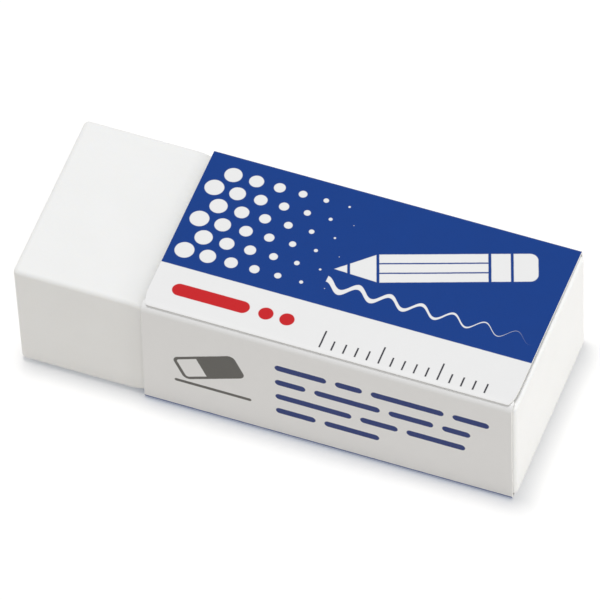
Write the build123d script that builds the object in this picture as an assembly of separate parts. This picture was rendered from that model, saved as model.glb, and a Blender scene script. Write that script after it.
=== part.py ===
from build123d import *
import os
from math import asin, degrees, tan

# A block eraser in a card sleeve. Sizes are in millimetres. X runs along the block, from its
# bare end to its covered end, Y runs across it and Z points up. The sleeve's underside is at
# Z = 0, and the origin lies under the middle of the block.

# Vinyl block
block_length = 43.0
block_width = 16.7
block_height = 11.3
block_corner_radius = 0.45  # upright corners at the two ends
block_edge_radius = 0.4  # rims of the top and bottom faces

# Card sleeve: one strip of card, folded round the block and glued along its top front edge
card_thickness = 0.2
sleeve_length = 31.55
end_setback = 0.3  # the block's covered end stands out of the sleeve by this much
fit_clearance = 0.05  # between the block and the card, on every side
fold_radius = 0.15  # inner side of each scored fold
flap_fold_radius = 0.5  # inner side of the glue flap's fold, which is bent last and stays softer
glue_flap_width = 5.0  # from the front fold to the flap's free edge, under the top panel
glue_flap_taper = 2.5  # the flap's two ends slope back by this much
seam_setback = 0.35  # free edge of the top panel, back from the face of the front panel
seam_corner_radius = 0.6  # rounded corners of that free edge
cut_overrun = 1.0  # cutting shapes reach past the card by this much

# The block lies on the sleeve's bottom panel.
block_base = card_thickness + fit_clearance

# Inner faces of the folded card. The flap lies between the block and the top panel, so the top
# panel rises by one thickness of card from the back fold to the flap's free edge.
inner_half_width = block_width / 2 + fit_clearance
roof_height = block_base + block_height + fit_clearance
flap_free_edge = glue_flap_width - inner_half_width
roof_tilt = asin(card_thickness / (inner_half_width - flap_free_edge))
seam_edge = seam_setback - inner_half_width - card_thickness

# Sleeve ends along X
sleeve_end = block_length / 2 - end_setback
sleeve_mouth = sleeve_end - sleeve_length
sleeve_middle = (sleeve_mouth + sleeve_end) / 2


def vinyl_block():
    """The white block, with rounded upright corners and softened rims."""
    block = Pos(0, 0, block_base + block_height / 2) * Box(block_length, block_width, block_height)
    block = fillet(block.edges().filter_by(Axis.Z), block_corner_radius)
    rims = block.faces().sort_by(Axis.Z)[0].edges() + block.faces().sort_by(Axis.Z)[-1].edges()
    return fillet(rims, block_edge_radius)


def tilted_point(y, level_y):
    """A point on a line of the tilted roof that is at roof height where Y is level_y."""
    return (y, roof_height + (level_y - y) * tan(roof_tilt))


def folded_card(inner_points, radius):
    """A length of card whose inner face follows the points, with a rounded fold at each."""
    inner_face = FilletPolyline(*inner_points, radius=radius)
    section = make_face(offset(inner_face, amount=card_thickness, side=Side.RIGHT, closed=True))
    return Pos(sleeve_mouth, 0, 0) * extrude(Plane.YZ * section, sleeve_length)


def flap_end_cut():
    """The wedge that slopes the flap back at the sleeve's mouth, from its fold to its free edge."""
    fold_line = flap_fold_radius - inner_half_width
    far_side = flap_free_edge + cut_overrun
    outline = Polyline(
        (sleeve_mouth, fold_line),
        (sleeve_mouth + glue_flap_taper, flap_free_edge),
        (sleeve_mouth + glue_flap_taper, far_side),
        (sleeve_mouth - cut_overrun, far_side),
        (sleeve_mouth - cut_overrun, fold_line),
        close=True,
    )
    wedge = extrude(make_face(outline), card_thickness + 2 * cut_overrun)
    return Pos(0, 0, roof_height - cut_overrun) * wedge


def card_sleeve():
    """The sleeve: flap, front, bottom and back panels, then the top panel glued over the flap."""
    half_front = (-inner_half_width, roof_height / 2)
    half_back = (inner_half_width, roof_height / 2)
    flap = folded_card([
        tilted_point(flap_free_edge, flap_free_edge),
        tilted_point(-inner_half_width, flap_free_edge),
        half_front,
    ], flap_fold_radius)
    mouth_cut = flap_end_cut()
    flap = flap - mouth_cut - mirror(mouth_cut, Plane.YZ.offset(sleeve_middle))
    tray = folded_card([
        half_front,
        (-inner_half_width, card_thickness),
        (inner_half_width, card_thickness),
        half_back,
    ], fold_radius)
    top_panel = folded_card([
        half_back,
        tilted_point(inner_half_width, inner_half_width),
        tilted_point(seam_edge, inner_half_width),
    ], fold_radius)
    seam_face = top_panel.faces().sort_by(Axis.Y)[0]
    seam_corners = seam_face.edges().sort_by(SortBy.LENGTH)[:2]
    top_panel = fillet(seam_corners, seam_corner_radius)
    return flap + tray + top_panel


os.makedirs("parts", exist_ok=True)
pieces = {"eraser_block": vinyl_block(), "card_sleeve": card_sleeve()}
for name, piece in pieces.items():
    export_step(piece, f"parts/{name}.step")
    print(name, len(piece.solids()), "solid", round(piece.volume, 2), "mm3", piece.bounding_box().size)
print("top panel rises by", round(degrees(roof_tilt), 2), "degrees")
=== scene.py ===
# %% [markdown]
# # A block eraser in its card sleeve
# The object is a small desk eraser: a block of white vinyl that stands out of a folded card sleeve.
# The CAD model is loaded first, as a fixed frame in metres. Every piece below takes its place and
# size from that frame, so nothing is fitted by eye and the joint still moves the right parts.

# %% Load the frame
import math

import bmesh
import bpy
from mathutils import Matrix, Vector


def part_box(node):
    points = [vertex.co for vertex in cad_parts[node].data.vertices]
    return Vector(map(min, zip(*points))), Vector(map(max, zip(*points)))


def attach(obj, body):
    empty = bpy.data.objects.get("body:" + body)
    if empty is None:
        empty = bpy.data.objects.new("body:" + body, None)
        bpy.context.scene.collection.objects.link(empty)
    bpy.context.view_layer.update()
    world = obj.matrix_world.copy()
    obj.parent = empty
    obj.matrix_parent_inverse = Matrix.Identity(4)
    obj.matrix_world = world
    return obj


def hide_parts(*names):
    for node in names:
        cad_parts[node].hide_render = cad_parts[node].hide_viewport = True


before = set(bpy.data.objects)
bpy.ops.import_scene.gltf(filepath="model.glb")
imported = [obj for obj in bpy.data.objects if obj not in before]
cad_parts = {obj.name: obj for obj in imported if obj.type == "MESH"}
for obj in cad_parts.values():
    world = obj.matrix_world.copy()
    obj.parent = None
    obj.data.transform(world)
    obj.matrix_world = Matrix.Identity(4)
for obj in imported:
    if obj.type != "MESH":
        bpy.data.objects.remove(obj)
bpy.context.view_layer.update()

block_low, block_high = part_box("eraser_block")
sleeve_low, sleeve_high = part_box("card_sleeve")

# %% [markdown]
# ## The block of vinyl
# The real block is cut from an extruded bar and tumbled, so its rims are only just rounded and its
# upright corners a little more. The knife leans a little, so the bare end is not quite square. The
# vinyl is soft, and the sleeve has pressed it down at its mouth, which eases off under the card. A
# cube with a Bevel modifier could make the block, but both radii meet at each corner, so it is lofted
# instead: rounded outlines are stacked from the underside to the top, each one set in by as much as
# the rim turns at that height, with more points near the mouth.

# %% Outline of the block at one height
MM = 0.001
CORNER_STEPS = 10
SHORT_STEPS = 16
BARE_STEPS = 10
PRESS_STEPS = 14
EASING_STEPS = 16
COVERED_STEPS = 24
PRESS_REACH = 1.4 * MM
EASING_REACH = 8.0 * MM

half_length = (block_high.x - block_low.x) / 2
half_width = (block_high.y - block_low.y) / 2
half_height = (block_high.z - block_low.z) / 2
block_middle = (block_low + block_high) / 2
mouth = sleeve_low.x - block_middle.x


def short_run(start, end):
    """Points on a straight run across the block, without its two ends."""
    return [start.lerp(end, i / SHORT_STEPS) for i in range(1, SHORT_STEPS)]


def long_run(start, end):
    """Points on a straight run along the block, without its ends, and close together at the mouth."""
    stops = sorted((start.x, mouth - PRESS_REACH, mouth, mouth + EASING_REACH, end.x))
    counts = (BARE_STEPS, PRESS_STEPS, EASING_STEPS, COVERED_STEPS)
    places = []
    for low, high, steps in zip(stops, stops[1:], counts):
        places += [low + (high - low) * i / steps for i in range(steps)]
    places = sorted(places[1:], reverse=start.x > end.x)
    return [Vector((x, start.y, start.z)) for x in places]


def rounded_outline(reach_x, reach_y, radius, height):
    """A level rectangle with round corners, with the same number of points for every size."""
    corners = []
    for quarter, (side_x, side_y) in enumerate(((1, 1), (-1, 1), (-1, -1), (1, -1))):
        middle = Vector((side_x * (reach_x - radius), side_y * (reach_y - radius), height))
        turns = [(quarter + i / CORNER_STEPS) * math.pi / 2 for i in range(CORNER_STEPS + 1)]
        corners.append([middle + radius * Vector((math.cos(t), math.sin(t), 0)) for t in turns])
    points = []
    for quarter, arc in enumerate(corners):
        run = (long_run, short_run)[quarter % 2]
        following = corners[(quarter + 1) % len(corners)]
        points += arc + run(arc[-1], following[0])
    return points


print("the mouth is", round((mouth + half_length) / MM, 2), "mm from the bare end")

# %% Stack the outlines
RIM_RADIUS = 0.4 * MM
CORNER_RADIUS = 0.45 * MM
RIM_STEPS = 8
WALL_STEPS = 12
CAP_STEPS = 9


def eased(step, steps):
    """A share from 0 to 1 whose steps are short near both ends."""
    return (1 - math.cos(math.pi * step / steps)) / 2


def block_levels():
    """Pairs of inset and height, from the middle line of the underside round to that of the top."""
    caps = [half_width + (RIM_RADIUS - half_width) * eased(i, CAP_STEPS) for i in range(CAP_STEPS)]
    turns = [i / RIM_STEPS * math.pi / 2 for i in range(RIM_STEPS + 1)]
    rim = [(RIM_RADIUS * (1 - math.sin(t)), RIM_RADIUS * (1 - math.cos(t))) for t in turns]
    lower = [(inset, 0) for inset in caps] + rim
    wall_low, wall_high = RIM_RADIUS, block_high.z - block_low.z - RIM_RADIUS
    wall = [(0, wall_low + (wall_high - wall_low) * eased(i, WALL_STEPS)) for i in range(1, WALL_STEPS)]
    upper = [(inset, block_high.z - block_low.z - rise) for inset, rise in reversed(lower)]
    return lower + wall + upper


print("the block is stacked from", len(block_levels()), "outlines")

# %% Close the stack into a mesh
TOUCHING = 0.001 * MM


def loft(mesh_name, rings):
    """A closed mesh through rings of points. The first and last rings have closed up to a line."""
    shape = bmesh.new()
    loops = [[shape.verts.new(point) for point in ring] for ring in rings]
    for under, over in zip(loops, loops[1:]):
        for i in range(len(under)):
            after = (i + 1) % len(under)
            shape.faces.new((under[i], under[after], over[after], over[i]))
    bmesh.ops.remove_doubles(shape, verts=shape.verts, dist=TOUCHING)
    mesh = bpy.data.meshes.new(mesh_name)
    shape.to_mesh(mesh)
    shape.free()
    mesh.shade_smooth()
    return mesh


# %% [markdown]
# The press mark and the lean are small moves of each point, so they are written as functions of the
# point. They could be sculpted, but a function gives the same mark each time and can be read.

# %% Press and lean the outlines
TOP_PRESS = 0.3 * MM
SIDE_PRESS = 0.02 * MM
END_LEAN = 0.32 * MM


def pressed(point):
    """A point about the block's middle, drawn in towards the long axis where the mouth presses."""
    past = point.x - mouth
    share = max(0, 1 - max(-past / PRESS_REACH, past / EASING_REACH)) ** 2
    narrower = 1 - share * SIDE_PRESS / half_width
    lower = 1 - share * TOP_PRESS / half_height
    return Vector((point.x, point.y * narrower, point.z * lower))


def leaning(point):
    """The point, moved so that the bare end leans in from its top edge down to its bottom edge."""
    nearness = max(0, (mouth - point.x) / (mouth + half_length))
    drop = (half_height - point.z) / (2 * half_height)
    return point + Vector((END_LEAN * nearness * drop, 0, 0))


print("pressed", round(TOP_PRESS / MM, 2), "mm deep, leaning by", round(END_LEAN / MM, 2), "mm")

# %% Build the block
def block_ring(inset, rise):
    """One outline of the block, set in from its sides, at a height above its underside."""
    corner = max(CORNER_RADIUS - inset, 0)
    ring = rounded_outline(half_length - inset, half_width - inset, corner, rise - half_height)
    return [block_middle + leaning(pressed(point)) for point in ring]


block_mesh = loft("vinyl_block", [block_ring(inset, rise) for inset, rise in block_levels()])
block = bpy.data.objects.new("vinyl_block", block_mesh)
bpy.context.scene.collection.objects.link(block)
block_size = [round(side / MM, 2) for side in block.dimensions]
print("block", len(block_mesh.polygons), "faces, size in mm", block_size)

# %% [markdown]
# ## The flat blank of the sleeve
# The sleeve starts as a flat strip of card, die-cut with a glue flap along one edge. It could be
# modelled folded, but drawing it flat first is how it is made, and it gives the print a place to
# live: a point's place on the flat card is also its place in the artwork. The strip runs along Y,
# and its bottom panel is already where the bottom of the sleeve will be. The edge that is glued last
# is drawn with a slight dip, because on the real sleeve it lies down on the round of the fold.

# %% Measure the panels
CARD = 0.2 * MM
FOLD_RADIUS = 0.15 * MM
FLAP_FOLD_RADIUS = 0.5 * MM
CLEARANCE = 0.05 * MM
GLUE = 0.01 * MM
FLAP_WIDTH = 5.0 * MM
SEAM_SETBACK = 0.35 * MM
QUARTER_TURN = math.pi / 2

inner_half_width = sleeve_high.y - CARD
inner_floor = sleeve_low.z + CARD
inner_roof = block_high.z + CLEARANCE
roof_tilt = math.asin((CARD + GLUE) / (2 * inner_half_width - FLAP_WIDTH))
flap_turn = QUARTER_TURN + roof_tilt
top_turn = QUARTER_TURN - roof_tilt


def corner_cut(turn, radius=FOLD_RADIUS):
    """How much of a panel's length a rounded fold of this turn uses up, on each side of it."""
    return radius * math.tan(turn / 2)


flap_length = FLAP_WIDTH / math.cos(roof_tilt) - corner_cut(flap_turn, FLAP_FOLD_RADIUS)
front_height = inner_roof - inner_floor + FLAP_WIDTH * math.tan(roof_tilt)
front_length = front_height - corner_cut(flap_turn, FLAP_FOLD_RADIUS) - corner_cut(QUARTER_TURN)
back_length = inner_roof - inner_floor - corner_cut(QUARTER_TURN) - corner_cut(top_turn)
seam_y = SEAM_SETBACK - inner_half_width - CARD
top_length = (inner_half_width - seam_y) / math.cos(roof_tilt) - corner_cut(top_turn)
panels = {"flap": flap_length, "front": front_length, "back": back_length, "top": top_length}
print("flat lengths in mm", {name: round(length / MM, 2) for name, length in panels.items()})

# %% Find the creases on the flat strip
half_bottom = inner_half_width - corner_cut(QUARTER_TURN)
front_crease = -half_bottom
flap_crease = front_crease - FOLD_RADIUS * QUARTER_TURN - front_length
flap_edge = flap_crease - FLAP_FOLD_RADIUS * flap_turn - flap_length
back_crease = half_bottom
top_crease = back_crease + FOLD_RADIUS * QUARTER_TURN + back_length
top_start = top_crease + FOLD_RADIUS * top_turn
seam_edge = top_start + top_length
print("the flat strip is", round((seam_edge - flap_edge) / MM, 2), "mm from edge to edge")
print("the top panel rises by", round(math.degrees(roof_tilt), 2), "degrees")

# %% List the rows of the strip
PANEL_STEPS = 16
FOLD_STEPS = 10
FLAP_TAPER = 2.5 * MM
SEAM_CORNER_DEPTH = 0.45 * MM
SEAM_CORNER_LENGTH = 1.7 * MM
SEAM_CORNER_STEPS = 8


def panel_rows(start, end, bows=True):
    """Rows over a flat panel: place on the strip, cut at each end, share of the bow."""
    shares = [eased(i, PANEL_STEPS) for i in range(PANEL_STEPS)]
    return [(start + (end - start) * s, 0, math.sin(math.pi * s) ** 2 * bows) for s in shares]


def fold_rows(start, end):
    """Rows over a fold, close enough together to make a smooth bend."""
    return [(start + (end - start) * i / FOLD_STEPS, 0, 0) for i in range(FOLD_STEPS)]


flap_end = flap_edge + flap_length
flap_places = [place for place, _, _ in panel_rows(flap_edge, flap_end)]
flap_rows = [(place, FLAP_TAPER * (flap_end - place) / flap_length, 0) for place in flap_places]
corner_start = seam_edge - SEAM_CORNER_LENGTH
corner_turns = [i / SEAM_CORNER_STEPS * QUARTER_TURN for i in range(SEAM_CORNER_STEPS + 1)]
corner_rows = [
    (corner_start + SEAM_CORNER_LENGTH * math.sin(t), SEAM_CORNER_DEPTH * (1 - math.cos(t)), 0)
    for t in corner_turns
]
rows = flap_rows + fold_rows(flap_end, flap_crease)
rows += panel_rows(flap_crease, front_crease - FOLD_RADIUS * QUARTER_TURN)
rows += fold_rows(front_crease - FOLD_RADIUS * QUARTER_TURN, front_crease)
rows += panel_rows(front_crease, back_crease, bows=False)
rows += fold_rows(back_crease, back_crease + FOLD_RADIUS * QUARTER_TURN)
rows += panel_rows(back_crease + FOLD_RADIUS * QUARTER_TURN, top_crease)
rows += fold_rows(top_crease, top_start) + panel_rows(top_start, corner_start) + corner_rows
print("the strip has", len(rows), "rows")

# %% Dip of the glued edge
outer_fold = FLAP_FOLD_RADIUS + CARD
dip_start = seam_edge - (CARD - SEAM_SETBACK + corner_cut(flap_turn, FLAP_FOLD_RADIUS))


def dip(place):
    """How far the glued edge bends down, so that it lies on the round of the fold under it."""
    past = max(0, place - dip_start)
    return outer_fold - math.sqrt(outer_fold ** 2 - past ** 2)


print("the glued edge dips by", round(dip(seam_edge) / MM, 3), "mm")

# %% Cut the blank
COLUMNS = 56
BOW_NAME = "bow"


def flat_blank(rows):
    """The strip of card lying flat, printed side down, with its bow written on each point."""
    shape = bmesh.new()
    bow = shape.verts.layers.float.new(BOW_NAME)
    grid = []
    for place, cut, bow_share in rows:
        low, high = sleeve_low.x + cut, sleeve_high.x - cut
        level = inner_floor + dip(place)
        shares = [eased(i, COLUMNS) for i in range(COLUMNS + 1)]
        line = [shape.verts.new((low + (high - low) * s, place, level)) for s in shares]
        for point in line:
            point[bow] = bow_share
        grid.append(line)
    for line, after in zip(grid, grid[1:]):
        for i in range(COLUMNS):
            shape.faces.new((line[i], after[i], after[i + 1], line[i + 1]))
    mesh = bpy.data.meshes.new("card_blank")
    shape.to_mesh(mesh)
    shape.free()
    return mesh


blank_mesh = flat_blank(rows)
print("blank", len(blank_mesh.polygons), "faces, printed side down:", blank_mesh.polygons[0].normal.z < 0)

# %% [markdown]
# ## The print
# The real sleeve is white card printed in blue, with a little red, dark and grey ink, under a satin
# varnish. The artwork here is a plain design of fields and simple shapes: a blue field with dots and
# a pencil that draws a line, a white band with a red bar and a scale, and rows of short bars on the
# narrow side. It could be drawn with images, but sums on the flat card stay sharp at any distance.
# A small class lets those sums be written as plain arithmetic while it makes Math nodes.

# %% Arithmetic that makes nodes
class Field:
    """A number that changes over a surface. Sums of fields make the Math nodes that work them out."""

    def __init__(self, tree, socket):
        self.tree = tree
        self.socket = socket

    def worked(self, operation, *others):
        """The field after one Math operation, with fields or plain numbers as its other inputs."""
        node = self.tree.nodes.new("ShaderNodeMath")
        node.operation = operation
        self.tree.links.new(self.socket, node.inputs[0])
        for place, other in enumerate(others, 1):
            if isinstance(other, Field):
                self.tree.links.new(other.socket, node.inputs[place])
            else:
                node.inputs[place].default_value = other
        return Field(self.tree, node.outputs[0])

    def __add__(self, other):
        return self.worked("ADD", other)

    def __sub__(self, other):
        return self.worked("SUBTRACT", other)

    def __mul__(self, other):
        return self.worked("MULTIPLY", other)

    def __truediv__(self, other):
        return self.worked("DIVIDE", other)

    def within(self, low, high):
        """The field, held between two values."""
        return self.worked("MAXIMUM", low).worked("MINIMUM", high)


# %% [markdown]
# Each printed shape is a distance: how far a point of the card is outside it, in millimetres, and
# negative inside. Shapes then combine easily: the smaller of two distances is both shapes together,
# the larger is where they overlap, and a soft step at zero gives the ink its edge.

# %% Shapes as distances
EDGE_SOFTNESS = 0.03
HALF_INKED = 0.5


def length_of(across, along):
    """Distance from the point where both fields are zero."""
    return (across * across + along * along).worked("SQRT")


def disc(u, v, centre, radius):
    """Distance outside a disc, negative inside it."""
    return length_of(u - centre[0], v - centre[1]) - radius


def rounded_bar(u, v, centre, half, radius):
    """Distance outside a rectangle with round corners."""
    over_u = (u - centre[0]).worked("ABSOLUTE") - (half[0] - radius)
    over_v = (v - centre[1]).worked("ABSOLUTE") - (half[1] - radius)
    outside = length_of(over_u.worked("MAXIMUM", 0), over_v.worked("MAXIMUM", 0))
    inside = over_u.worked("MAXIMUM", over_v).worked("MINIMUM", 0)
    return outside + inside - radius


def stripe(field, middle, half):
    """Distance outside a stripe about one value of a field."""
    return (field - middle).worked("ABSOLUTE") - half


def both(first, *others):
    """Distance outside the overlap of shapes."""
    for other in others:
        first = first.worked("MAXIMUM", other)
    return first


def either(first, *others):
    """Distance outside the union of shapes."""
    for other in others:
        first = first.worked("MINIMUM", other)
    return first


def inked(distance):
    """1 inside a shape and 0 outside it, with a soft edge."""
    return (distance * (-HALF_INKED / EDGE_SOFTNESS) + HALF_INKED).within(0, 1)


# %% Nodes that the finishes share
NOISE_MIDDLE = 0.5
FULL_BUMP = 1.0


def new_finish(name):
    """A material with its node tree and its Principled shader."""
    finish = bpy.data.materials.new(name)
    finish.use_nodes = True
    return finish, finish.node_tree, finish.node_tree.nodes["Principled BSDF"]


def noise(tree, where, scale, detail, roughness=0.5):
    """A noise field, between 0 and 1, about its middle."""
    node = tree.nodes.new("ShaderNodeTexNoise")
    node.inputs["Scale"].default_value = scale
    node.inputs["Detail"].default_value = detail
    node.inputs["Roughness"].default_value = roughness
    tree.links.new(where, node.inputs["Vector"])
    return Field(tree, node.outputs["Fac"])


def mixed(tree, share, first, second):
    """A colour between two: first where the share is 0, second where it is 1."""
    node = tree.nodes.new("ShaderNodeMix")
    node.data_type = "RGBA"
    tree.links.new(share.socket, node.inputs["Factor"])
    for colour, place in ((first, "A"), (second, "B")):
        socket = [s for s in node.inputs if s.name == place and s.type == "RGBA"][0]
        if isinstance(colour, tuple):
            socket.default_value = (*colour, 1)
        else:
            tree.links.new(colour, socket)
    return [s for s in node.outputs if s.type == "RGBA"][0]


def bumped(tree, shader, height, distance):
    """Bump from a height field, onto the shader's normal."""
    node = tree.nodes.new("ShaderNodeBump")
    node.inputs["Strength"].default_value = FULL_BUMP
    node.inputs["Distance"].default_value = distance
    tree.links.new(height.socket, node.inputs["Height"])
    tree.links.new(node.outputs["Normal"], shader.inputs["Normal"])


def object_place(tree):
    """Where a point is on the piece, in metres."""
    return tree.nodes.new("ShaderNodeTexCoord").outputs["Object"]


# %% [markdown]
# The place on the artwork comes from the flat card: along is counted from the sleeve's mouth, and
# down from the back edge of the top panel. The print repeats after half a turn round the sleeve, so
# the bottom is like the top and the back is like the front. Real ink creeps along the fibres, so a
# fine noise moves each place a little and the edges of the shapes are not perfectly sharp.

# %% Place on the artwork
UV_NAME = "blank"
WRAP_MARGIN = 0.02
INK_WANDER = 0.035
INK_WANDER_SCALE = 2.5
INK_WANDER_DETAIL = 3

print_start = (top_crease + FOLD_RADIUS * top_turn / 2) / MM
print_repeat = print_start - (front_crease - FOLD_RADIUS * QUARTER_TURN / 2) / MM
print_end = seam_edge / MM - print_start + WRAP_MARGIN

printed, ink, printed_shader = new_finish("printed card")
uv_node = ink.nodes.new("ShaderNodeUVMap")
uv_node.uv_map = UV_NAME
wander_node = ink.nodes.new("ShaderNodeTexNoise")
wander_node.inputs["Scale"].default_value = INK_WANDER_SCALE
wander_node.inputs["Detail"].default_value = INK_WANDER_DETAIL
ink.links.new(uv_node.outputs["UV"], wander_node.inputs["Vector"])
split_uv = ink.nodes.new("ShaderNodeSeparateXYZ")
split_wander = ink.nodes.new("ShaderNodeSeparateColor")
ink.links.new(uv_node.outputs["UV"], split_uv.inputs["Vector"])
ink.links.new(wander_node.outputs["Color"], split_wander.inputs["Color"])
wander_along = (Field(ink, split_wander.outputs["Red"]) - NOISE_MIDDLE) * INK_WANDER
wander_round = (Field(ink, split_wander.outputs["Green"]) - NOISE_MIDDLE) * INK_WANDER
along = Field(ink, split_uv.outputs["X"]) + wander_along
strip = Field(ink, split_uv.outputs["Y"]) + wander_round
down = (strip - print_start).worked("WRAP", print_end, print_end - print_repeat)
print("the print repeats every", round(print_repeat, 2), "mm")

# %% [markdown]
# ### The blue field
# The top of the real sleeve is mostly solid blue, and a printer makes white shapes by leaving the card
# bare. The field is one stripe that bleeds a little over the back fold. The dots could be separate
# discs, but one disc that repeats in rows and columns needs far fewer nodes, and its radius shrinks
# along the rows. The pencil and its line are more distances, taken away from the blue with the dots.

# %% Blue field with dots that fade along it
VANISHED = -1.0
CELL_MIDDLE = 0.5
FIELD_DEPTH = 12.17
FIELD_BLEED = 0.12
DOT_PITCH = 2.0
DOT_ROW = 1.73
DOT_ROWS = 6
DOT_START = (1.35, 0.95)
DOT_RADIUS = 0.8
DOT_REACH = 12.5

field = stripe(down, (FIELD_DEPTH - FIELD_BLEED) / 2, (FIELD_DEPTH + FIELD_BLEED) / 2)
dot_line = ((down - DOT_START[1]) / DOT_ROW).worked("FLOOR")
dot_shift = (dot_line / 2).worked("FRACT") * DOT_PITCH
dot_column = ((along - DOT_START[0] - dot_shift) / DOT_PITCH).worked("FLOOR")
dot_u = (dot_column + CELL_MIDDLE) * DOT_PITCH + DOT_START[0] + dot_shift
dot_v = (dot_line + CELL_MIDDLE) * DOT_ROW + DOT_START[1]
dot_radius = (dot_u - DOT_START[0]) * (-DOT_RADIUS / DOT_REACH) + DOT_RADIUS
dot_radius = dot_radius.worked("MAXIMUM", VANISHED)
dot_band = stripe(down, DOT_START[1] + DOT_ROWS * DOT_ROW / 2, DOT_ROWS * DOT_ROW / 2)
dot_side = (dot_u * -1) + DOT_START[0] / 2
dots = both(length_of(along - dot_u, down - dot_v) - dot_radius, dot_band, dot_side)
print("blue field", FIELD_DEPTH, "mm deep, dots in", DOT_ROWS, "rows")

# %% Pencil that draws a line
PENCIL_TIP = (13.4, 8.3)
PENCIL_LEAN = math.radians(20)
PENCIL_LENGTH = 16.4
PENCIL_HALF = 1.45
POINT_LENGTH = 3.5
LEAD_LENGTH = 1.15
FERRULE = (12.5, 14.3)
GAP_HALF = 0.12
RIDGE = 0.5
RIDGE_HALF = 0.07
END_RADIUS = 0.7

from_tip_u = along - PENCIL_TIP[0]
from_tip_v = down - PENCIL_TIP[1]
lengthwise = from_tip_u * math.cos(PENCIL_LEAN) - from_tip_v * math.sin(PENCIL_LEAN)
crosswise = (from_tip_u * math.sin(PENCIL_LEAN) + from_tip_v * math.cos(PENCIL_LEAN)).worked("ABSOLUTE")
pencil_body = rounded_bar(
    lengthwise, crosswise, (PENCIL_LENGTH / 2, 0), (PENCIL_LENGTH / 2, PENCIL_HALF), END_RADIUS
)
pencil_point = crosswise - lengthwise * (PENCIL_HALF / POINT_LENGTH)
body_only = stripe(lengthwise, (POINT_LENGTH + FERRULE[0]) / 2, (FERRULE[0] - POINT_LENGTH) / 2)
gaps = [stripe(lengthwise, place, GAP_HALF) for place in (LEAD_LENGTH, POINT_LENGTH, *FERRULE)]
ridges = both(stripe(crosswise, RIDGE, RIDGE_HALF), body_only)
pencil = both(pencil_body, pencil_point, either(ridges, *gaps) * -1)
print("pencil", PENCIL_LENGTH, "mm long with", len(gaps), "gaps across it")

# %% Line that is being rubbed out
LINE_START = 13.2
LINE_END = 29.6
LINE_LEVEL = 9.95
LINE_WAVE = 2.7
LINE_SWING = 0.5
LINE_HALF = 0.3

swing = ((along - LINE_START) * (2 * math.pi / LINE_WAVE)).worked("COSINE") * -LINE_SWING
fading = (along - LINE_START) * (-LINE_HALF / (LINE_END - LINE_START)) + LINE_HALF
fading = fading.worked("MAXIMUM", VANISHED)
drawn_line = (down - LINE_LEVEL - swing).worked("ABSOLUTE") - fading
drawn_line = both(drawn_line, (along * -1) + LINE_START)
knocked_out = either(dots, pencil, drawn_line)
print("the line fades over", round(LINE_END - LINE_START, 2), "mm")

# %% [markdown]
# ### The white band and the narrow side
# The band along the front edge is white, and so is the front. Here the band carries a red bar with two
# dots and a scale of ticks, and the front carries rows of bars and a small picture. They could be thin
# pieces laid on the card, but ink has no thickness, so they are more distances on the same artwork.

# %% Red bar and a scale on the white band
BAND_MIDDLE = 14.45
RED_BAR = (5.1, BAND_MIDDLE)
RED_HALF = (3.3, 0.62)
RED_DOTS = ((9.8, BAND_MIDDLE), (11.6, BAND_MIDDLE))
SCALE_EDGE = 16.25
SCALE_START = 15.0
SCALE_END = 29.0
TICK_HALF = 0.07
SHORT_TICK = 0.95
LONG_TICK = 1.75
TICKS_A_LONG = 5
LESS_THAN_A_TICK = 0.1

red = rounded_bar(along, down, RED_BAR, RED_HALF, RED_HALF[1])
red = either(red, *[disc(along, down, dot, RED_HALF[1]) for dot in RED_DOTS])
tick = (along - SCALE_START).worked("ROUND")
off_tick = (along - SCALE_START - tick).worked("ABSOLUTE") - TICK_HALF
is_long = (tick / TICKS_A_LONG).worked("FRACT").worked("LESS_THAN", LESS_THAN_A_TICK)
tick_top = is_long * (SHORT_TICK - LONG_TICK) + (SCALE_EDGE - SHORT_TICK)
scale_reach = stripe(along, (SCALE_START + SCALE_END) / 2, (SCALE_END - SCALE_START) / 2 + TICK_HALF)
scale = both(off_tick, tick_top - down, down - SCALE_EDGE, scale_reach)
print("scale of", int(SCALE_END - SCALE_START) + 1, "ticks")

# %% Rows of bars on the narrow side
ROW_START = 11.4
ROW_TOP = -8.55
ROW_PITCH = 1.85
ROW_HALF = 0.34
BAR_GAP = 0.75
ROWS_OF_BARS = ((4.4, 2.3, 6.2, 3.1), (2.6, 5.6, 3.8, 2.4), (6.5, 3.2, 5.0), (3.4, 4.7))


def bar_row(lengths, level):
    """Distance outside a row of bars of these lengths, one after the other, with round ends."""
    place = ROW_START
    runs = []
    for length in lengths:
        runs.append(stripe(along, place + length / 2, length / 2 - ROW_HALF).worked("MAXIMUM", 0))
        place += length + BAR_GAP
    return length_of(either(*runs), down - level) - ROW_HALF


bars = either(*[bar_row(lengths, ROW_TOP + i * ROW_PITCH) for i, lengths in enumerate(ROWS_OF_BARS)])
print("bars", [len(lengths) for lengths in ROWS_OF_BARS], "in", len(ROWS_OF_BARS), "rows")

# %% Small picture of an eraser on a line
ICON_CENTRE = (5.7, -6.1)
ICON_LEAN = math.radians(24)
ICON_HALF = (2.75, 1.2)
ICON_CORNER = 0.4
ICON_LINE = 0.15
ICON_SLEEVE = -0.7
ICON_GROUND = (6.0, -3.35)
ICON_GROUND_HALF = (3.3, 0.17)

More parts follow.
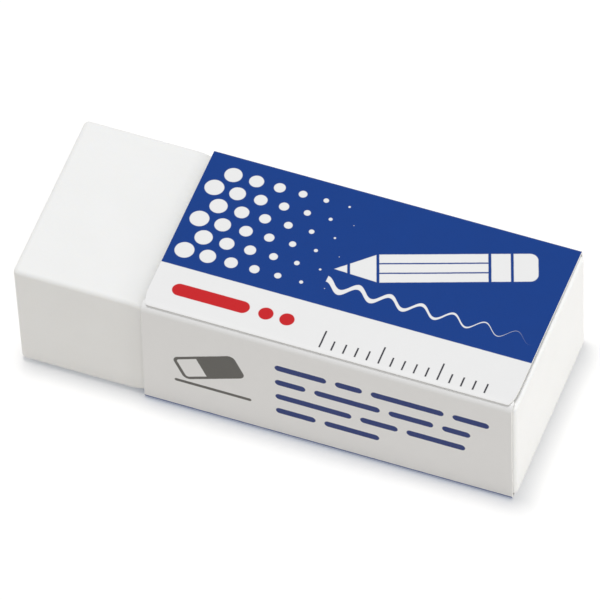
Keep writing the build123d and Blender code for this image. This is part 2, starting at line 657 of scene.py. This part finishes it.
icon_u = along - ICON_CENTRE[0]
icon_v = down - ICON_CENTRE[1]
icon_length = icon_u * math.cos(ICON_LEAN) - icon_v * math.sin(ICON_LEAN)
icon_width = icon_u * math.sin(ICON_LEAN) + icon_v * math.cos(ICON_LEAN)
icon_block = rounded_bar(icon_length, icon_width, (0, 0), ICON_HALF, ICON_CORNER)
icon_outline = icon_block.worked("ABSOLUTE") - ICON_LINE
icon_sleeve = both(icon_block, (icon_length * -1) + ICON_SLEEVE)
icon_ground = rounded_bar(along, down, ICON_GROUND, ICON_GROUND_HALF, ICON_GROUND_HALF[1])
icon = either(icon_outline, icon_sleeve, icon_ground)
print("small picture", 2 * ICON_HALF[0], "by", 2 * ICON_HALF[1], "mm")

# %% [markdown]
# ### Inks and varnish
# Printed card is never one flat colour: the ink lies thicker in places, and the varnish is a little
# uneven. The inks are laid one over the other by Mix nodes, with a faint mottle in the blue and the
# white. The same mottle varies the gloss, and a fine fibre shows through as bump.

# %% Lay the inks on the card
CARD_WHITE = (0.835, 0.835, 0.835)
BLUE_INK = (0.0, 0.041, 0.245)
RED_INK = (0.56, 0.012, 0.016)
DARK_INK = (0.02, 0.02, 0.03)
ROW_INK = (0.02, 0.04, 0.18)
GREY_INK = (0.13, 0.127, 0.118)
BLUE_MOTTLE = 0.1
WHITE_MOTTLE = 0.025
MOTTLE_SCALE = 0.6
MOTTLE_DETAIL = 4

blue_share = inked(field)
white_shapes = inked(knocked_out)
mottle = noise(ink, uv_node.outputs["UV"], MOTTLE_SCALE, MOTTLE_DETAIL)
deep_blue = tuple(c * (1 - BLUE_MOTTLE) for c in BLUE_INK)
blue_ink = mixed(ink, mottle, BLUE_INK, deep_blue)
dull_white = tuple(c * (1 - WHITE_MOTTLE) for c in CARD_WHITE)
card_white = mixed(ink, mottle, CARD_WHITE, dull_white)
colour = mixed(ink, blue_share * (white_shapes * -1 + 1), card_white, blue_ink)
colour = mixed(ink, inked(red), colour, RED_INK)
colour = mixed(ink, inked(scale), colour, DARK_INK)
colour = mixed(ink, inked(bars), colour, ROW_INK)
colour = mixed(ink, inked(icon), colour, GREY_INK)
ink.links.new(colour, printed_shader.inputs["Base Color"])
print("blue ink", BLUE_INK, "on white card", CARD_WHITE)

# %% Varnish and fibre of the printed side
FIBRE_SCALE = 9.0
FIBRE_DETAIL = 5
FIBRE_ROUGHNESS = 0.65
FIBRE_HEIGHT = 0.004 * MM
VARNISH = 0.42
VARNISH_VARIATION = 0.12
VARNISH_SPECULAR = 0.17

fibre = noise(ink, uv_node.outputs["UV"], FIBRE_SCALE, FIBRE_DETAIL, FIBRE_ROUGHNESS)
varnish = mottle * VARNISH_VARIATION + (VARNISH - VARNISH_VARIATION / 2)
ink.links.new(varnish.socket, printed_shader.inputs["Roughness"])
printed_shader.inputs["Specular IOR Level"].default_value = VARNISH_SPECULAR
bumped(ink, printed_shader, fibre, FIBRE_HEIGHT)
print("print made of", len(ink.nodes), "nodes")

# %% [markdown]
# ## Bare card
# Inside the sleeve and along its cut edges the card is not coated: it is slightly grey, with short
# fibres. A photo texture could show them, but two noises, stretched along the fibres, are enough. The cut
# edge is painted paler than the inside, almost as white as the printed card: this is painted light that
# offsets the shade along the glued seam, so the seam line reads lighter.

# %% Raw side and cut edge
FIBRE_STRETCH = (0.25, 1.0, 1.0)
NAP_SCALE = 4500
NAP_DETAIL = 4
NAP_ROUGHNESS = 0.6
NAP_SHARE = 0.6
NAP_HEIGHT = 0.012 * MM
SPECKS_SCALE = 1400
SPECKS_DETAIL = 2
TONE_START = 0.35
TONE_GAIN = 3
BARE_ROUGHNESS = 0.85
BARE_SPECULAR = 0.2
RAW_TONES = ((0.78, 0.77, 0.74), (0.66, 0.645, 0.61))
# The cut edge tones are painted paler than bare card: painted light that offsets the shade along the
# glued seam.
CUT_TONES_WITH_PAINTED_LIGHT = ((0.84, 0.835, 0.82), (0.72, 0.71, 0.69))


def bare_card(name, pale, dull):
    """Uncoated card: two tones of fibre, rough, with a fine nap."""
    finish, tree, shader = new_finish(name)
    mapping = tree.nodes.new("ShaderNodeMapping")
    mapping.inputs["Scale"].default_value = FIBRE_STRETCH
    tree.links.new(object_place(tree), mapping.inputs["Vector"])
    nap = noise(tree, mapping.outputs["Vector"], NAP_SCALE, NAP_DETAIL, NAP_ROUGHNESS)
    specks = noise(tree, mapping.outputs["Vector"], SPECKS_SCALE, SPECKS_DETAIL)
    tone = (nap * NAP_SHARE + specks * (1 - NAP_SHARE) - TONE_START) * TONE_GAIN
    tree.links.new(mixed(tree, tone.within(0, 1), pale, dull), shader.inputs["Base Color"])
    shader.inputs["Roughness"].default_value = BARE_ROUGHNESS
    shader.inputs["Specular IOR Level"].default_value = BARE_SPECULAR
    bumped(tree, shader, nap, NAP_HEIGHT)
    return finish


raw_card = bare_card("raw card", *RAW_TONES)
cut_card = bare_card("cut card edge", *CUT_TONES_WITH_PAINTED_LIGHT)
print("bare card has", len(raw_card.node_tree.nodes), "nodes, on two finishes")

# %% [markdown]
# ## Folding the card
# A press scores the strip and folds it round the block, one crease after the other. A Geometry Nodes
# group does the same here. It bends whatever lies past one crease round a small arc: each point is
# moved back by its distance into the bend, then turned about the bend's axis by that distance over
# the radius. The outer creases are folded first, so each fold still finds its crease on flat card.

# %% Helpers for node trees
def new_tree(name, inputs):
    """An empty Geometry Nodes tree with named inputs and one geometry output."""
    tree = bpy.data.node_groups.new(name, "GeometryNodeTree")
    for label, kind in inputs:
        tree.interface.new_socket(label, in_out="INPUT", socket_type="NodeSocket" + kind)
    tree.interface.new_socket("Geometry", in_out="OUTPUT", socket_type="NodeSocketGeometry")
    return tree, tree.nodes.new("NodeGroupInput"), tree.nodes.new("NodeGroupOutput")


def joined_node(tree, kind, links, **settings):
    """A node with its settings, whose inputs take sockets or values."""
    node = tree.nodes.new(kind)
    for name, value in settings.items():
        setattr(node, name, value)
    for place, value in links.items():
        if isinstance(value, bpy.types.NodeSocket):
            tree.links.new(value, node.inputs[place])
        else:
            node.inputs[place].default_value = value
    return node


def geo_math(tree, operation, first, second):
    """One Math node, as a socket."""
    return joined_node(tree, "ShaderNodeMath", {0: first, 1: second}, operation=operation).outputs[0]


# %% Group that folds at one crease
STRIP_NAME = "strip"
fold_group, fold_in, fold_out = new_tree(
    "Fold at a crease",
    [("Geometry", "Geometry"), ("Crease", "Float"), ("Turn", "Float"), ("Radius", "Float"),
     ("Side", "Float"), ("Level", "Float")],
)
strip_place = joined_node(
    fold_group, "GeometryNodeInputNamedAttribute", {"Name": STRIP_NAME}, data_type="FLOAT"
)
past = geo_math(fold_group, "SUBTRACT", strip_place.outputs["Attribute"], fold_in.outputs["Crease"])
past = geo_math(fold_group, "MULTIPLY", past, fold_in.outputs["Side"])
bend = geo_math(fold_group, "MULTIPLY", fold_in.outputs["Turn"], fold_in.outputs["Radius"])
into_bend = geo_math(fold_group, "MINIMUM", geo_math(fold_group, "MAXIMUM", past, 0.0), bend)
signed = geo_math(fold_group, "MULTIPLY", into_bend, fold_in.outputs["Side"])
moved_back = joined_node(fold_group, "ShaderNodeCombineXYZ", {"Y": signed})
drawn_in = joined_node(
    fold_group, "ShaderNodeVectorMath",
    {0: fold_group.nodes.new("GeometryNodeInputPosition").outputs[0], 1: moved_back.outputs[0]},
    operation="SUBTRACT",
)
axis_height = geo_math(fold_group, "ADD", fold_in.outputs["Level"], fold_in.outputs["Radius"])
axis = joined_node(fold_group, "ShaderNodeCombineXYZ", {"Y": fold_in.outputs["Crease"], "Z": axis_height})
turned = joined_node(
    fold_group, "ShaderNodeVectorRotate",
    {"Vector": drawn_in.outputs[0], "Center": axis.outputs[0],
     "Angle": geo_math(fold_group, "DIVIDE", signed, fold_in.outputs["Radius"])},
    rotation_type="X_AXIS",
)
folded = joined_node(
    fold_group, "GeometryNodeSetPosition",
    {"Geometry": fold_in.outputs["Geometry"], "Position": turned.outputs[0]},
)
fold_group.links.new(folded.outputs[0], fold_out.inputs[0])
print("the fold is worked out by", len(fold_group.nodes), "nodes")

# %% [markdown]
# The sleeve's tree remembers where each point lies on the flat strip before anything moves: the folds
# need that place to know what lies past a crease, and the print needs it as its UV map. All the sizes
# come in as named inputs, so the same tree could fold a sleeve for another block.

# %% Tree that makes the sleeve from the blank
sleeve_tree, sleeve_in, sleeve_out = new_tree(
    "Fold the sleeve",
    [("Geometry", "Geometry"), ("Card thickness", "Float"), ("Fold radius", "Float"),
     ("Flap fold radius", "Float"), ("Level", "Float"), ("Top crease", "Float"), ("Top turn", "Float"),
     ("Back crease", "Float"), ("Flap crease", "Float"), ("Flap turn", "Float"),
     ("Front crease", "Float"), ("Quarter turn", "Float"), ("Mouth", "Float"),
     ("Bow", "Float"), ("Ripple", "Float"), ("Ripple scale", "Float"), ("Seed", "Float"),
     ("Printed side", "Material"), ("Raw side", "Material"), ("Cut edge", "Material")],
)
flat_place = joined_node(
    sleeve_tree, "ShaderNodeSeparateXYZ",
    {0: sleeve_tree.nodes.new("GeometryNodeInputPosition").outputs[0]},
)
kept_strip = joined_node(
    sleeve_tree, "GeometryNodeStoreNamedAttribute",
    {"Geometry": sleeve_in.outputs["Geometry"], "Name": STRIP_NAME, "Value": flat_place.outputs["Y"]},
    data_type="FLOAT", domain="POINT",
)
from_mouth = geo_math(sleeve_tree, "SUBTRACT", flat_place.outputs["X"], sleeve_in.outputs["Mouth"])
print_place = joined_node(
    sleeve_tree, "ShaderNodeCombineXYZ",
    {"X": geo_math(sleeve_tree, "DIVIDE", from_mouth, MM),
     "Y": geo_math(sleeve_tree, "DIVIDE", flat_place.outputs["Y"], MM)},
)
kept_print = joined_node(
    sleeve_tree, "GeometryNodeStoreNamedAttribute",
    {"Geometry": kept_strip.outputs[0], "Name": UV_NAME, "Value": print_place.outputs[0]},
    data_type="FLOAT2", domain="CORNER",
)
sleeve_inputs = [item for item in sleeve_tree.interface.items_tree if item.in_out == "INPUT"]
print("the sleeve's tree takes", len(sleeve_inputs), "named inputs")

# %% Chain the four folds
FOLDS = (
    ("Top crease", "Top turn", "Fold radius", 1.0),
    ("Back crease", "Quarter turn", "Fold radius", 1.0),
    ("Flap crease", "Flap turn", "Flap fold radius", -1.0),
    ("Front crease", "Quarter turn", "Fold radius", -1.0),
)
card_so_far = kept_print.outputs[0]
for crease, turn, radius, side in FOLDS:
    fold = joined_node(sleeve_tree, "GeometryNodeGroup", {}, node_tree=fold_group)
    for label, source in (("Crease", crease), ("Turn", turn), ("Radius", radius), ("Level", "Level")):
        sleeve_tree.links.new(sleeve_in.outputs[source], fold.inputs[label])
    fold.inputs["Side"].default_value = side
    sleeve_tree.links.new(card_so_far, fold.inputs["Geometry"])
    card_so_far = fold.outputs["Geometry"]
print("folded at", [crease for crease, *_ in FOLDS])

# %% [markdown]
# Folded card is under tension: its panels bow outwards a little and are never quite even. A Displace
# modifier could do that, but in the tree it comes before the card gets its thickness, so both sides
# of the card stay parallel. The folds stay where they are, because each point's share of the bow was
# written on the blank.

# %% Let the card bow and ripple a little
RIPPLE_DETAIL = 1.0

ripple_noise = joined_node(
    sleeve_tree, "ShaderNodeTexNoise",
    {"Scale": sleeve_in.outputs["Ripple scale"], "W": sleeve_in.outputs["Seed"], "Detail": RIPPLE_DETAIL},
    noise_dimensions="4D",
)
ripple = geo_math(sleeve_tree, "SUBTRACT", ripple_noise.outputs["Fac"], NOISE_MIDDLE)
bow_share = joined_node(
    sleeve_tree, "GeometryNodeInputNamedAttribute", {"Name": BOW_NAME}, data_type="FLOAT"
)
rippled = geo_math(sleeve_tree, "MULTIPLY", ripple, sleeve_in.outputs["Ripple"])
bowed = geo_math(sleeve_tree, "ADD", rippled, sleeve_in.outputs["Bow"])
bowed = geo_math(sleeve_tree, "MULTIPLY", bowed, bow_share.outputs["Attribute"])
outward = joined_node(
    sleeve_tree, "ShaderNodeVectorMath",
    {0: sleeve_tree.nodes.new("GeometryNodeInputNormal").outputs[0], "Scale": bowed},
    operation="SCALE",
)
relaxed = joined_node(
    sleeve_tree, "GeometryNodeSetPosition", {"Geometry": card_so_far, "Offset": outward.outputs[0]}
)

# %% [markdown]
# Until now the card has no thickness. A Solidify modifier could give it one, but the Extrude node also
# says which new faces are the printed side and which are the cut edge, so each face is marked with a
# number, and the tree can end by giving each number its finish.

# %% Give the card its thickness and mark its surfaces
SURFACE_NAME = "surface"
SURFACES = ("Raw side", "Printed side", "Cut edge")
MERGE_DISTANCE = 0.002 * MM

thick = joined_node(
    sleeve_tree, "GeometryNodeExtrudeMesh",
    {"Mesh": relaxed.outputs[0], "Offset Scale": sleeve_in.outputs["Card thickness"],
     "Individual": False},
    mode="FACES",
)
outer_faces = thick.outputs["Mesh"]
for faces, surface in (("Top", "Printed side"), ("Side", "Cut edge")):
    outer_faces = joined_node(
        sleeve_tree, "GeometryNodeStoreNamedAttribute",
        {"Geometry": outer_faces, "Selection": thick.outputs[faces], "Name": SURFACE_NAME,
         "Value": SURFACES.index(surface)},
        data_type="INT", domain="FACE",
    ).outputs[0]
inner_faces = joined_node(sleeve_tree, "GeometryNodeFlipFaces", {"Mesh": relaxed.outputs[0]}).outputs[0]
whole = joined_node(sleeve_tree, "GeometryNodeJoinGeometry", {})
for faces in (outer_faces, inner_faces):
    sleeve_tree.links.new(faces, whole.inputs[0])
merged = joined_node(
    sleeve_tree, "GeometryNodeMergeByDistance", {"Geometry": whole.outputs[0], "Distance": MERGE_DISTANCE}
)
print("surfaces marked", SURFACES)

# %% End the tree with one finish for each surface
HALF_A_MARK = 0.5

realized = joined_node(sleeve_tree, "GeometryNodeRealizeInstances", {"Geometry": merged.outputs[0]})
card_so_far = realized.outputs[0]
mark = joined_node(
    sleeve_tree, "GeometryNodeInputNamedAttribute", {"Name": SURFACE_NAME}, data_type="INT"
)
for number, surface in enumerate(SURFACES):
    chosen = joined_node(
        sleeve_tree, "ShaderNodeMath",
        {0: mark.outputs["Attribute"], 1: number, 2: HALF_A_MARK}, operation="COMPARE",
    )
    card_so_far = joined_node(
        sleeve_tree, "GeometryNodeSetMaterial",
        {"Geometry": card_so_far, "Selection": chosen.outputs[0], "Material": sleeve_in.outputs[surface]},
    ).outputs[0]
sleeve_tree.links.new(card_so_far, sleeve_out.inputs[0])
print("the tree that folds the sleeve has", len(sleeve_tree.nodes), "nodes")

# %% Fold the blank and keep it as a plain mesh
SHARP_ANGLE = math.radians(40)
BOW = 0.03 * MM
RIPPLE = 0.05 * MM
RIPPLE_SCALE = 160.0
RIPPLE_SEED = 4.0

sleeve_sizes = {
    "Card thickness": CARD, "Fold radius": FOLD_RADIUS,
    "Flap fold radius": FLAP_FOLD_RADIUS, "Level": inner_floor,
    "Top crease": top_crease, "Top turn": top_turn, "Back crease": back_crease,
    "Flap crease": flap_crease, "Flap turn": flap_turn, "Front crease": front_crease,
    "Quarter turn": QUARTER_TURN, "Mouth": sleeve_low.x,
    "Bow": BOW, "Ripple": RIPPLE, "Ripple scale": RIPPLE_SCALE, "Seed": RIPPLE_SEED,
    "Printed side": printed, "Raw side": raw_card, "Cut edge": cut_card,
}
blank_mesh.materials.append(printed)
blank = bpy.data.objects.new("card_blank", blank_mesh)
bpy.context.scene.collection.objects.link(blank)
folding = blank.modifiers.new("Fold the sleeve", "NODES")
folding.node_group = sleeve_tree
for item in sleeve_inputs:
    if item.name in sleeve_sizes:
        folding[item.identifier] = sleeve_sizes[item.name]
evaluated = blank.evaluated_get(bpy.context.evaluated_depsgraph_get())
sleeve_mesh = bpy.data.meshes.new_from_object(evaluated)
blank.modifiers.remove(folding)
bpy.data.objects.remove(blank)
sleeve_mesh.name = "printed_sleeve"
for helper in (STRIP_NAME, BOW_NAME, SURFACE_NAME):
    sleeve_mesh.attributes.remove(sleeve_mesh.attributes[helper])
sleeve_mesh.shade_smooth()
sleeve_mesh.set_sharp_from_angle(angle=SHARP_ANGLE)
sleeve = bpy.data.objects.new("printed_sleeve", sleeve_mesh)
bpy.context.scene.collection.objects.link(sleeve)
sleeve_size = [round(side / MM, 3) for side in sleeve.dimensions]
print("sleeve", len(sleeve_mesh.polygons), "faces, size in mm", sleeve_size)
print("finishes", [finish.name for finish in sleeve_mesh.materials], "maps", sleeve_mesh.uv_layers.keys())

# %% [markdown]
# ## White vinyl
# The block is soft filled vinyl: matte, slightly see-through at its edges, and never quite even, with
# a fine grain where it was cut. A plain white shader would look like plaster. Subsurface scattering
# gives the soft edges, and noises at two sizes give the grain and the faint clouding.

# %% Finish of the block
VINYL_WHITE = (0.873, 0.877, 0.872)
VINYL_CLOUD = (0.853, 0.856, 0.848)
GRAIN_SCALE = 5200
GRAIN_DETAIL = 3
GRAIN_ROUGHNESS = 0.6
GRAIN_HEIGHT = 0.008 * MM
CLOUD_SCALE = 260
CLOUD_DETAIL = 4
CLOUD_SHARE = 0.7
CLOUD_START = 0.3
CLOUD_GAIN = 2.5
VINYL_ROUGHNESS = 0.5
VINYL_ROUGHNESS_GAIN = 0.2
VINYL_SPECULAR = 0.25
SCATTER_SHARE = 0.2
SCATTER_TINT = (1.0, 0.95, 0.85)
SCATTER_DEPTH = 0.5 * MM

vinyl, vinyl_tree, vinyl_shader = new_finish("white vinyl")
vinyl_place = object_place(vinyl_tree)
grain = noise(vinyl_tree, vinyl_place, GRAIN_SCALE, GRAIN_DETAIL, GRAIN_ROUGHNESS)
cloud = noise(vinyl_tree, vinyl_place, CLOUD_SCALE, CLOUD_DETAIL)
clouding = (cloud * CLOUD_SHARE + grain * (1 - CLOUD_SHARE) - CLOUD_START) * CLOUD_GAIN
vinyl_tree.links.new(
    mixed(vinyl_tree, clouding.within(0, 1), VINYL_WHITE, VINYL_CLOUD), vinyl_shader.inputs["Base Color"]
)
vinyl_roughness = grain * VINYL_ROUGHNESS_GAIN + VINYL_ROUGHNESS
vinyl_tree.links.new(vinyl_roughness.socket, vinyl_shader.inputs["Roughness"])
vinyl_shader.inputs["Specular IOR Level"].default_value = VINYL_SPECULAR
vinyl_shader.inputs["Subsurface Weight"].default_value = SCATTER_SHARE
vinyl_shader.inputs["Subsurface Radius"].default_value = SCATTER_TINT
vinyl_shader.inputs["Subsurface Scale"].default_value = SCATTER_DEPTH
bumped(vinyl_tree, vinyl_shader, grain, GRAIN_HEIGHT)
block_mesh.materials.append(vinyl)
print("white vinyl has", len(vinyl_tree.nodes), "nodes")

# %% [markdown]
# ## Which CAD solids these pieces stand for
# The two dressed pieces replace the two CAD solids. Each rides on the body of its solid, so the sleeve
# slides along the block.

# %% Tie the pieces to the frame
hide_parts("eraser_block")
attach(block, "block")
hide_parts("card_sleeve")
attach(sleeve, "sleeve")
print(block.name, "rides on block,", sleeve.name, "rides on sleeve")

# %% [markdown]
# ## Floor, light and camera
# The photograph is a plain product shot on white, with soft light from above and the right and short
# shadows. The floor is pale and keeps the shadows. More light would turn it white, but the object
# would turn pale with it. So the floor adds a little light of its own for what the camera sees, which
# does not reach the object.

# %% Pale floor
FLOOR_HALF = 1.5
FLOOR_DROP = 0.02 * MM
FLOOR_COLOUR = (0.92, 0.885, 0.835, 1)
FLOOR_LIFT = (0.13, 0.16, 0.205, 1)
MATTE = 1.0
NO_GLOSS = 0.0


def seen_directly(tree):
    """1 for rays from the camera and for what gloss and glass show, 0 for rays that light things."""
    path = tree.nodes.new("ShaderNodeLightPath")
    share = Field(tree, path.outputs["Is Camera Ray"]) + Field(tree, path.outputs["Is Glossy Ray"])
    return (share + Field(tree, path.outputs["Is Transmission Ray"])).worked("MINIMUM", 1)


floor_finish, floor_tree, floor_shader = new_finish("pale floor")
floor_shader.inputs["Base Color"].default_value = FLOOR_COLOUR
floor_shader.inputs["Roughness"].default_value = MATTE
floor_shader.inputs["Specular IOR Level"].default_value = NO_GLOSS
floor_shader.inputs["Emission Color"].default_value = FLOOR_LIFT
floor_tree.links.new(seen_directly(floor_tree).socket, floor_shader.inputs["Emission Strength"])
floor_mesh = bpy.data.meshes.new("floor")
floor_corners = [(-1, -1), (1, -1), (1, 1), (-1, 1)]
floor_points = [(x * FLOOR_HALF, y * FLOOR_HALF, sleeve_low.z - FLOOR_DROP) for x, y in floor_corners]
floor_mesh.from_pydata(floor_points, [], [(0, 1, 2, 3)])
floor_mesh.materials.append(floor_finish)
floor = bpy.data.objects.new("floor", floor_mesh)
bpy.context.scene.collection.objects.link(floor)
print("floor lies", round(FLOOR_DROP / MM, 3), "mm under the sleeve")

# %% [markdown]
# ### Light
# A product is often lit in a white tent, with large soft lamps outside it. The world stands for the
# tent: it lights the object at half strength, and is white where the camera sees it. Two square lamps
# give the light its direction. One hangs almost overhead, so the top is brighter than the sides, and
# one stands low at the right, so the covered end is not left in shade.

# %% World
AMBIENT = 0.5
WORLD_WHITE = (1, 1, 1, 1)

world = bpy.data.worlds.new("studio")
world.use_nodes = True
bpy.context.scene.world = world
world_tree = world.node_tree
background = world_tree.nodes["Background"]
background.inputs["Color"].default_value = WORLD_WHITE
world_level = seen_directly(world_tree) * (1 - AMBIENT) + AMBIENT
world_tree.links.new(world_level.socket, background.inputs["Strength"])
print("the world lights the object at a strength of", AMBIENT)

# %% Soft lights
OVERHEAD_PLACE = (-0.055, 0.035, 0.62)
OVERHEAD_SIZE = 0.14
OVERHEAD_POWER = 1.75
OVERHEAD_TINT = (1, 1, 1)
SIDE_PLACE = (0.7, -0.05, 0.1)
SIDE_SIZE = 0.3
SIDE_POWER = 1.95
SIDE_TINT = (0.97, 0.985, 1.0)


def softbox(name, place, size, power, tint):
    """A square area light that faces the object."""
    lamp = bpy.data.lights.new(name, "AREA")
    lamp.shape = "SQUARE"
    lamp.color = tint
    lamp.size = size
    lamp.energy = power
    light = bpy.data.objects.new(name, lamp)
    light.location = place
    light.rotation_euler = (-Vector(place)).to_track_quat("-Z", "Y").to_euler()
    bpy.context.scene.collection.objects.link(light)
    print(name, "lamp of", power, "W")


softbox("overhead", OVERHEAD_PLACE, OVERHEAD_SIZE, OVERHEAD_POWER, OVERHEAD_TINT)
softbox("right side", SIDE_PLACE, SIDE_SIZE, SIDE_POWER, SIDE_TINT)

# %% [markdown]
# ### Camera
# The photograph was taken from above and a little to the right, with a long lens, because edges that
# are parallel on the object are nearly parallel in it. The angles, the distance and the lens come from
# fitting the object's straight edges. They could be set by eye, but a fit lines up every corner.

# %% Camera at the photograph's angle
CAMERA_AZIMUTH = math.radians(21.50)
CAMERA_ELEVATION = math.radians(51.96)
CAMERA_ROLL = math.radians(-1.78)
CAMERA_DISTANCE = 955.4 * MM
AIM_RIGHT = -0.10 * MM
AIM_UP = 4.14 * MM
LENS = 705.8
SENSOR = 36.0

towards = Vector((
    math.sin(CAMERA_AZIMUTH) * math.cos(CAMERA_ELEVATION),
    -math.cos(CAMERA_AZIMUTH) * math.cos(CAMERA_ELEVATION),
    math.sin(CAMERA_ELEVATION),
))
level_right = (-towards).cross(Vector((0, 0, 1))).normalized()
level_up = level_right.cross(-towards)
right = level_right * math.cos(CAMERA_ROLL) + level_up * math.sin(CAMERA_ROLL)
up = level_up * math.cos(CAMERA_ROLL) - level_right * math.sin(CAMERA_ROLL)
camera_place = towards * CAMERA_DISTANCE + right * AIM_RIGHT + up * AIM_UP

lens = bpy.data.cameras.new("camera")
lens.sensor_width = SENSOR
lens.lens = LENS
camera = bpy.data.objects.new("camera", lens)
facing = Matrix((right, up, towards)).transposed().to_4x4()
camera.matrix_world = Matrix.Translation(camera_place) @ facing
bpy.context.scene.collection.objects.link(camera)
bpy.context.scene.camera = camera
bpy.context.scene.view_settings.view_transform = "Standard"
print("camera", round(CAMERA_DISTANCE / MM, 1), "mm from the object")
